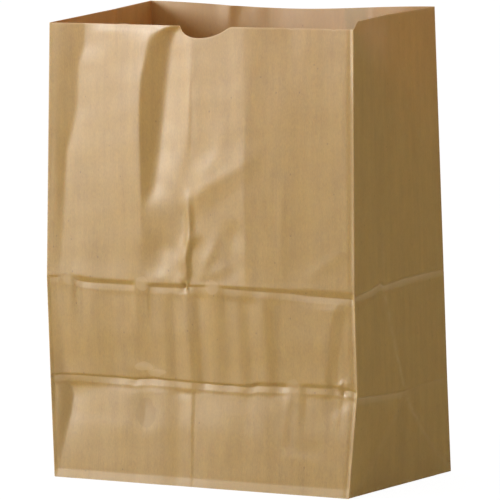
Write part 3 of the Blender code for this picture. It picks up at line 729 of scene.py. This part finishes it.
def creased(points, on_wall, sizes):
    """Move the plain tube's points to their places on the creased bag; mark wear and painted light."""
    half_w, half_d = sizes.width / 2, sizes.depth / 2
    x, y, z = points.T
    folds = upright_folds()
    gaps = np.stack([y + half_d, half_d - y, x + half_w, half_w - x])
    panel = np.argmin(gaps, axis=0)
    front, back, left, right = (panel == index for index in range(4))
    level = front | back
    share_x = np.clip((x + half_w) / (2 * half_w), 0, 1)
    share_y = np.clip((y + half_d) / (2 * half_d), 0, 1)
    edge = np.select([front, back, left], [front_edge(x), back_edge(share_x), left_edge(share_y)],
                     right_edge(share_y))
    rise = (edge - PRESS_LINE) / (TOP - PRESS_LINE)
    z = np.where(z > PRESS_LINE, PRESS_LINE + (z - PRESS_LINE) * rise, z)
    x_mm, y_mm = x / MM, y / MM
    z_mm = z / MM
    for nominal, front_line, back_line, side_line in (
            (LOW_FOLD, LOW_FOLD_LINE, BACK_LOW, SIDE_LOW),
            (PRESS_LINE, PRESS_FOLD, BACK_PRESS, SIDE_PRESS)):
        z_mm = z_mm + np.select(
            [front, back], [row_shift(x_mm, z_mm, front_line, nominal / MM),
                            row_shift(x_mm, z_mm, back_line, nominal / MM)],
            row_shift(y_mm, z_mm, side_line, nominal / MM))
    z = z_mm * MM
    depth = np.select(
        [front, back, left],
        [front_depth(x_mm, z_mm, sizes), back_depth(x_mm, z_mm, sizes),
         side_depth(y_mm, z_mm, sizes, LEFT_FOLDS)],
        side_depth(y_mm, z_mm, sizes, RIGHT_FOLDS)) * MM
    swell = np.select([front, back, left], [
        cockle(x_mm, z_mm, 3, 34.0), cockle(x_mm, z_mm, 5, 46.0), cockle(y_mm, z_mm, 7, 40.0)],
        cockle(y_mm, z_mm, 11, 42.0))
    depth += sizes.cockle * swell
    to_fold = np.where(level, half_w - np.abs(x), half_d - np.abs(y))
    depth *= ease(to_fold, 0.0, FOLD_FLANK)
    proud = np.clip(1 - np.abs(to_fold - FOLD_FLANK) / FOLD_FLANK, 0, 1)
    depth += np.where(front & (x > 0), sizes.lip * proud, 0.0)

    def chord(start, end, share):
        return at_height(folds[start], z) * (1 - share)[:, None] + \
            at_height(folds[end], z) * share[:, None]

    plan = np.select(
        [front[:, None], back[:, None], left[:, None]],
        [chord((-1, -1), (1, -1), share_x), chord((-1, 1), (1, 1), share_x),
         chord((-1, -1), (-1, 1), share_y)],
        chord((1, -1), (1, 1), share_y))
    outward = np.select(
        [front[:, None], back[:, None], left[:, None]],
        [np.array([[0.0, -1.0]]), np.array([[0.0, 1.0]]), np.array([[-1.0, 0.0]])],
        np.array([[1.0, 0.0]]))
    wall = np.column_stack([plan - outward * (gaps.min(axis=0) + depth)[:, None], z])
    ground = {key: at_height(stations, np.zeros(1))[0] for key, stations in folds.items()}
    near = ground[(-1, -1)] * (1 - share_x)[:, None] + ground[(1, -1)] * share_x[:, None]
    far = ground[(-1, 1)] * (1 - share_x)[:, None] + ground[(1, 1)] * share_x[:, None]
    flat = np.column_stack([near * (1 - share_y)[:, None] + far * share_y[:, None], points[:, 2]])
    placed = np.where(on_wall[:, None], wall, flat)
    across = np.where(level, x_mm, y_mm)
    return placed, paper_wear_and_painted_light(across, z_mm, edge / MM, to_fold / MM, (front, back), on_wall)


def paper_wear_and_painted_light(across, z, edge, to_fold, panels, on_wall):
    """Paleness, 0 to 1: wear, painted highlight at edges and folds, and painted light near the mouth.
    """
    front, back = panels

    def crease_wear_and_highlight(line, below, above):
        table = np.array(line, float)
        off = z - np.interp(across, table[:, 0], table[:, 1])
        depth = np.clip(np.interp(across, table[:, 0], table[:, 2]), 0, 1)
        return depth * np.clip(1 - np.where(off < 0, -off / below, off / above), 0, 1)

    def both(press, low, strip):
        above = 0.6
        return np.maximum(crease_wear_and_highlight(press, strip, above), crease_wear_and_highlight(low, strip, above))

    seam = np.minimum(np.abs(across - SEAM_NEAR / MM), np.abs(across - (SEAM_NEAR - SEAM_LAP) / MM))
    # the cut edge's pale rim is painted highlight; the upright folds are rubbed, and partly painted
    # highlight
    cut_edge = 0.9 * np.clip(1 - (edge - z) / 1.3, 0, 1)
    upright = 0.55 * np.clip(1 - to_fold / 1.6, 0, 1)
    # painted light: the back goes paler towards its mouth, where the soft box lights its inner face
    back_mouth = 0.45 * np.clip(1 - (edge - z) / 22.0, 0, 1)
    # the hem's lowest strip is painted paler
    hem = 0.22 * np.clip((HEM_TOP - z) / 2.0, 0, 1)
    seam_edge = 0.4 * np.clip(1.2 - seam, 0, 1)
    wear_and_painted_light = np.maximum(cut_edge, upright)
    wear_and_painted_light = np.maximum(wear_and_painted_light, np.where(back, np.maximum(back_mouth, seam_edge), 0.0))
    wear_and_painted_light = np.maximum(wear_and_painted_light, np.where(front, hem, 0.0))
    # level creases: rubbed paper, with painted highlight on the strip under each fold; strongest on
    # the sides, where no lamp shapes the light
    lines = np.select([front, back], [0.25 * both(PRESS_FOLD, LOW_FOLD_LINE, 4.0),
                                      0.35 * both(BACK_PRESS, BACK_LOW, 4.0)],
                      0.75 * both(SIDE_PRESS, SIDE_LOW, 5.5))
    for points, reach in SIDE_RUBS_AND_HIGHLIGHTS:
        # paler lines and patches on the sides: rubbed paper, painted highlight and painted light
        rub_and_highlight = pleat(across, z, points, reach, reach, 1.0)
        lines = np.where(front | back, lines, np.maximum(lines, rub_and_highlight))
    return np.where(on_wall, np.maximum(wear_and_painted_light, lines), 0.0)


# Materials

def node(tree, kind, settings=None, inputs=None, links=None):
    """Add a node with its settings, its input values and the sockets that feed it."""
    made = tree.nodes.new(kind)
    for name, value in (settings or {}).items():
        setattr(made, name, value)
    for name, value in (inputs or {}).items():
        made.inputs[name].default_value = value
    for name, socket in (links or {}).items():
        tree.links.new(socket, made.inputs[name])
    return made


def kraft_paper(colours):
    """Machine-glazed kraft paper: unbleached pulp, made on a wire and dried on a polished drum.

    The pulp gives a warm brown with fine upright fibres and a cloudy ground, the drum a low
    satin gloss, and rubbed folds go pale and dull. Its colour also carries painted highlight,
    painted light and painted shade.
    """
    material = bpy.data.materials.new("machine_glazed_kraft")
    material.use_nodes = True
    tree = material.node_tree
    shader = tree.nodes["Principled BSDF"]
    place = node(tree, "ShaderNodeTexCoord").outputs["Object"]
    millimetres = node(tree, "ShaderNodeVectorMath", {"operation": "SCALE"},
                       {"Scale": 1 / MM}, {0: place}).outputs["Vector"]

    def cloud(size, stretch, detail):
        """Noise of a size in millimetres, drawn out upright."""
        stretched = node(tree, "ShaderNodeMapping", None, {
            "Scale": (1 / size, 1 / size, 1 / (size * stretch))}, {"Vector": millimetres})
        return node(tree, "ShaderNodeTexNoise", None, {"Scale": 1.0, "Detail": detail},
                    {"Vector": stretched.outputs["Vector"]}).outputs["Fac"]

    fibres = cloud(1.5, 26.0, 3.0)
    streaks = cloud(7.0, 14.0, 2.0)
    ground = cloud(9.0, 1.6, 4.0)
    grain = cloud(0.9, 2.6, 2.0)

    tone = node(tree, "ShaderNodeMapRange", None, {
        "From Min": 0.3, "From Max": 0.7, "To Max": 0.22}, {"Value": streaks}).outputs["Result"]
    for layer, share in ((fibres, 0.35), (ground, 0.40), (grain, 0.8)):
        tone = node(tree, "ShaderNodeMath", {"operation": "MULTIPLY_ADD"}, {1: share},
                    {0: layer, 2: tone}).outputs[0]
    darker = node(tree, "ShaderNodeMapRange", None, {"From Min": 0.60, "From Max": 1.27},
                  {"Value": tone}).outputs["Result"]
    paper = node(tree, "ShaderNodeMix", {"data_type": "RGBA"}, {
        6: (*colours.paper, 1.0), 7: (*colours.fibre, 1.0)}, {0: darker}).outputs[2]

    # bark specks are 0.5 mm across in real paper: drawn at 0.9 mm, or none would show
    cells = node(tree, "ShaderNodeMapping", None, {"Scale": (1 / 11.0, 1 / 11.0, 1 / 15.0)},
                 {"Vector": millimetres}).outputs["Vector"]
    bark = node(tree, "ShaderNodeTexVoronoi", {"feature": "F1"}, {"Scale": 1.0}, {"Vector": cells})
    speck = node(tree, "ShaderNodeMapRange", None, {
        "From Min": 0.035, "From Max": 0.065, "To Min": 0.5, "To Max": 0.0},
        {"Value": bark.outputs["Distance"]}).outputs["Result"]

    wander = node(tree, "ShaderNodeTexNoise", None, {"Scale": 0.09, "Detail": 1.0},
                  {"Vector": millimetres}).outputs["Color"]
    shifted = node(tree, "ShaderNodeVectorMath", {"operation": "MULTIPLY_ADD"}, {
        1: (WANDER, 0.0, WANDER)}, {0: wander, 2: millimetres}).outputs["Vector"]

    def patches(rows):
        """Rounded patches on the front panel, with a clear edge that wanders a little."""
        total = None
        for place, height, half_x, half_z, amount in rows:
            half = (half_x, PATCH_REACH, half_z)
            centre = (place + WANDER / 2, PATCH_PLANE, height + WANDER / 2)
            local = node(tree, "ShaderNodeMapping", None, {
                "Location": tuple(-c / h for c, h in zip(centre, half)),
                "Scale": tuple(1 / h for h in half)}, {"Vector": shifted}).outputs["Vector"]
            reach = node(tree, "ShaderNodeVectorMath", {"operation": "LENGTH"}, None,
                         {0: local}).outputs["Value"]
            found = node(tree, "ShaderNodeMapRange", None, {
                "From Min": 0.95, "From Max": 1.05, "To Min": amount, "To Max": 0.0},
                {"Value": reach}).outputs["Result"]
            total = found if total is None else node(
                tree, "ShaderNodeMath", {"operation": "MAXIMUM"}, None,
                {0: total, 1: found}).outputs[0]
        return total

    # dark patches of painted shade, which also dull the gloss
    painted_shade = patches(SHADE_PATCHES)
    # the wear attribute and the pale patches: rubbed paper, painted highlight, painted light and
    # painted sheen
    wear_and_painted_light = node(tree, "ShaderNodeAttribute", {"attribute_name": "wear_and_painted_light"}).outputs["Fac"]
    wear_and_painted_light = node(tree, "ShaderNodeMath", {"operation": "MAXIMUM"}, None,
                {0: wear_and_painted_light, 1: patches(RUBBED_AND_SHEEN_PATCHES)}).outputs[0]
    uneven = node(tree, "ShaderNodeMapRange", None, {
        "From Min": 0.3, "From Max": 0.7, "To Min": 0.6}, {"Value": grain}).outputs["Result"]
    rubbed_and_painted_light = node(tree, "ShaderNodeMath", {"operation": "MULTIPLY"}, None,
                  {0: wear_and_painted_light, 1: uneven}).outputs[0]
    # bark specks, then the painted shade of the dark patches, then the pale colour of wear and painted
    # highlight
    for colour, share in ((colours.bark, speck), (colours.fibre, painted_shade), (colours.pale_wear_and_highlight, rubbed_and_painted_light)):
        paper = node(tree, "ShaderNodeMix", {"data_type": "RGBA"}, {7: (*colour, 1.0)},
                     {0: share, 6: paper}).outputs[2]
    tree.links.new(paper, shader.inputs["Base Color"])

    # the gloss is a little uneven, duller on wear and painted highlight, and on the painted shade
    gloss = node(tree, "ShaderNodeMapRange", None, {
        "From Min": 0.3, "From Max": 0.7, "To Min": 0.50, "To Max": 0.56},
        {"Value": ground}).outputs["Result"]
    for layer, share in ((rubbed_and_painted_light, 0.10), (painted_shade, 0.18)):
        gloss = node(tree, "ShaderNodeMath", {"operation": "MULTIPLY_ADD"}, {1: share},
                     {0: layer, 2: gloss}).outputs[0]
    tree.links.new(gloss, shader.inputs["Roughness"])

    # the drum's glaze lies over the fibres as a coat, and light spreads 0.6 mm in the sheet, so
    # a wall that is lit from outside glows a little on its inner face
    for name, value in (
            ("IOR", 1.6), ("Specular IOR Level", 0.68), ("Coat Weight", 1.0),
            ("Coat Roughness", 0.47), ("Coat IOR", 1.82), ("Subsurface Weight", 0.9),
            ("Subsurface Radius", (1.0, 0.72, 0.45)), ("Subsurface Scale", 0.6 * MM)):
        shader.inputs[name].default_value = value

    # relief in millimetres: fibres, grain, and the cockling of the ground as the sheet dries
    below = {}
    for layer, relief in ((fibres, 0.04), (grain, 0.06), (ground, 0.05)):
        bump = node(tree, "ShaderNodeBump", None, {"Strength": 1.0, "Distance": relief * MM},
                    {"Height": layer, **below})
        below = {"Normal": bump.outputs["Normal"]}
    tree.links.new(below["Normal"], shader.inputs["Normal"])
    return material


def white_to_the_camera(tree, seen, shader, share, strength=1.0):
    """Mix a shader with plain white where the camera looks at it straight."""
    white = node(tree, "ShaderNodeEmission", None, {"Strength": strength})
    path = node(tree, "ShaderNodeLightPath")
    factor = node(tree, "ShaderNodeMath", {"operation": "MULTIPLY"}, {1: share},
                  {0: path.outputs["Is Camera Ray"]}).outputs[0]
    mixed = node(tree, "ShaderNodeMixShader", None, None,
                 {0: factor, 1: shader, 2: white.outputs[0]})
    tree.links.new(mixed.outputs[0], seen)


def floor_paper():
    """Matt pale studio board, which keeps a faint shadow at the bag's foot."""
    material = bpy.data.materials.new("pale_studio_board")
    material.use_nodes = True
    tree = material.node_tree
    shader = tree.nodes["Principled BSDF"]
    shader.inputs["Base Color"].default_value = (*linear("#EDEBE6"), 1.0)
    shader.inputs["Roughness"].default_value = 0.9
    output = tree.nodes["Material Output"]
    white_to_the_camera(tree, output.inputs["Surface"], shader.outputs[0], 0.86, 1.10)
    return material


# Operators

class FoldPaperBag(bpy.types.Operator):
    """Fold the bag from one sheet of kraft paper"""
    bl_idname = "mesh.fold_paper_bag"
    bl_label = "Fold Paper Bag"

    def execute(self, context):
        sizes = context.scene.paper_bag_sizes
        mesh = bmesh.new()
        rolled_tube(mesh, sizes)
        close_floor(mesh)
        bmesh.ops.solidify(mesh, geom=mesh.faces[:], thickness=sizes.paper)
        fold_bottom(mesh, sizes)
        paste_seam(mesh, sizes)
        on_wall = wall_verts(mesh, sizes)
        data = bpy.data.meshes.new(PIECE)
        mesh.to_mesh(data)
        mesh.free()
        points = np.zeros(len(data.vertices) * 3)
        data.vertices.foreach_get("co", points)
        placed, wear_and_painted_light = creased(points.reshape(-1, 3), on_wall, sizes)
        data.vertices.foreach_set("co", placed.ravel())
        data.attributes.new("wear_and_painted_light", "FLOAT", "POINT").data.foreach_set("value", wear_and_painted_light)
        data.materials.append(kraft_paper(context.scene.kraft_colours))
        data.update()
        data.shade_smooth()
        data.set_sharp_from_angle(angle=math.radians(42))
        bag = bpy.data.objects.new(PIECE, data)
        context.scene.collection.objects.link(bag)
        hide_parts(NODE)
        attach(bag, "root")
        return {"FINISHED"}


def towards(azimuth, elevation):
    """A direction away from the bag: azimuth 0 is straight in front, and grows to the right."""
    turn, tilt = math.radians(azimuth), math.radians(elevation)
    return Vector(
        (math.sin(turn) * math.cos(tilt), -math.cos(turn) * math.cos(tilt), math.sin(tilt)))


class LightPaperBag(bpy.types.Operator):
    """Set the floor, the lamps, the world and the camera"""
    bl_idname = "scene.light_paper_bag"
    bl_label = "Light Paper Bag"

    def execute(self, context):
        studio = context.scene.bag_studio
        self.add_floor(context)
        self.add_key(context, studio.key_power)
        self.add_world(context, studio.ambient)
        self.add_camera(context)
        context.scene.view_settings.view_transform = "Standard"
        return {"FINISHED"}

    def add_floor(self, context):
        mesh = bmesh.new()
        bmesh.ops.create_grid(mesh, x_segments=1, y_segments=1, size=15.0)
        bmesh.ops.translate(mesh, verts=mesh.verts, vec=(0, 0, LOWEST.z - FLOOR_GAP))
        data = bpy.data.meshes.new("studio_floor")
        mesh.to_mesh(data)
        mesh.free()
        data.materials.append(floor_paper())
        floor = bpy.data.objects.new("studio_floor", data)
        floor.visible_glossy = False
        context.scene.collection.objects.link(floor)

    def add_key(self, context, power):
        """A square soft box at the front left, a little over the bag."""
        light = bpy.data.lights.new("key_soft_box", "AREA")
        light.shape = "SQUARE"
        light.size = KEY_SIZE
        light.energy = power
        lamp = bpy.data.objects.new("key_soft_box", light)
        way = towards(KEY_AZIMUTH, KEY_ELEVATION)
        lamp.location = (LOWEST + HIGHEST) / 2 + KEY_DISTANCE * way
        lamp.rotation_euler = way.to_track_quat("Z", "Y").to_euler()
        context.scene.collection.objects.link(lamp)

    def add_world(self, context, strength):
        world = bpy.data.worlds.new("plain_studio")
        context.scene.world = world
        world.use_nodes = True
        tree = world.node_tree
        ambient = tree.nodes["Background"]
        ambient.inputs["Color"].default_value = (1.0, 1.0, 1.0, 1.0)
        path = node(tree, "ShaderNodeLightPath")
        dimmed = node(tree, "ShaderNodeMath", {"operation": "MULTIPLY_ADD"}, {
            1: (GLOSSY_SHARE - 1) * strength, 2: strength}, {0: path.outputs["Is Glossy Ray"]})
        tree.links.new(dimmed.outputs[0], ambient.inputs["Strength"])
        output = tree.nodes["World Output"]
        white_to_the_camera(tree, output.inputs["Surface"], ambient.outputs[0], 1.0)

    def add_camera(self, context):
        """The photograph's view: 28.5 degrees right of the front, and 5.2 degrees up."""
        data = bpy.data.cameras.new("camera")
        data.sensor_width = 36.0
        data.lens = VIEW_LENS
        camera = bpy.data.objects.new("camera", data)
        back = towards(VIEW_AZIMUTH, VIEW_ELEVATION)
        right = Vector((0, 0, 1)).cross(back).normalized()
        axes = Matrix((right, back.cross(right), back)).transposed()
        place = Vector(VIEW_TARGET) + back * VIEW_DISTANCE
        camera.matrix_world = Matrix.Translation(place) @ axes.to_4x4()
        context.scene.collection.objects.link(camera)
        context.scene.camera = camera


class PAPERBAG_PT_panel(bpy.types.Panel):
    """The bag's operators and settings"""
    bl_label = "Paper Bag"
    bl_space_type = "VIEW_3D"
    bl_region_type = "UI"
    bl_category = "Paper Bag"

    def draw(self, context):
        layout = self.layout
        for name in ("paper_bag_sizes", "kraft_colours"):
            group = getattr(context.scene, name)
            for key in group.bl_rna.properties.keys():
                if key not in {"rna_type", "name"}:
                    layout.prop(group, key)
        layout.operator(FoldPaperBag.bl_idname)
        studio = context.scene.bag_studio
        for key in ("key_power", "ambient"):
            layout.prop(studio, key)
        layout.operator(LightPaperBag.bl_idname)


CLASSES = (PaperBagSizes, KraftColours, BagStudio, FoldPaperBag, LightPaperBag, PAPERBAG_PT_panel)


def register():
    for cls in CLASSES:
        bpy.utils.register_class(cls)
    bpy.types.Scene.paper_bag_sizes = PointerProperty(type=PaperBagSizes)
    bpy.types.Scene.kraft_colours = PointerProperty(type=KraftColours)
    bpy.types.Scene.bag_studio = PointerProperty(type=BagStudio)


def unregister():
    del bpy.types.Scene.bag_studio
    del bpy.types.Scene.kraft_colours
    del bpy.types.Scene.paper_bag_sizes
    for cls in reversed(CLASSES):
        bpy.utils.unregister_class(cls)


def main():
    register()
    bpy.ops.mesh.fold_paper_bag()
    bpy.ops.scene.light_paper_bag()


if __name__ == "__main__":
    main()
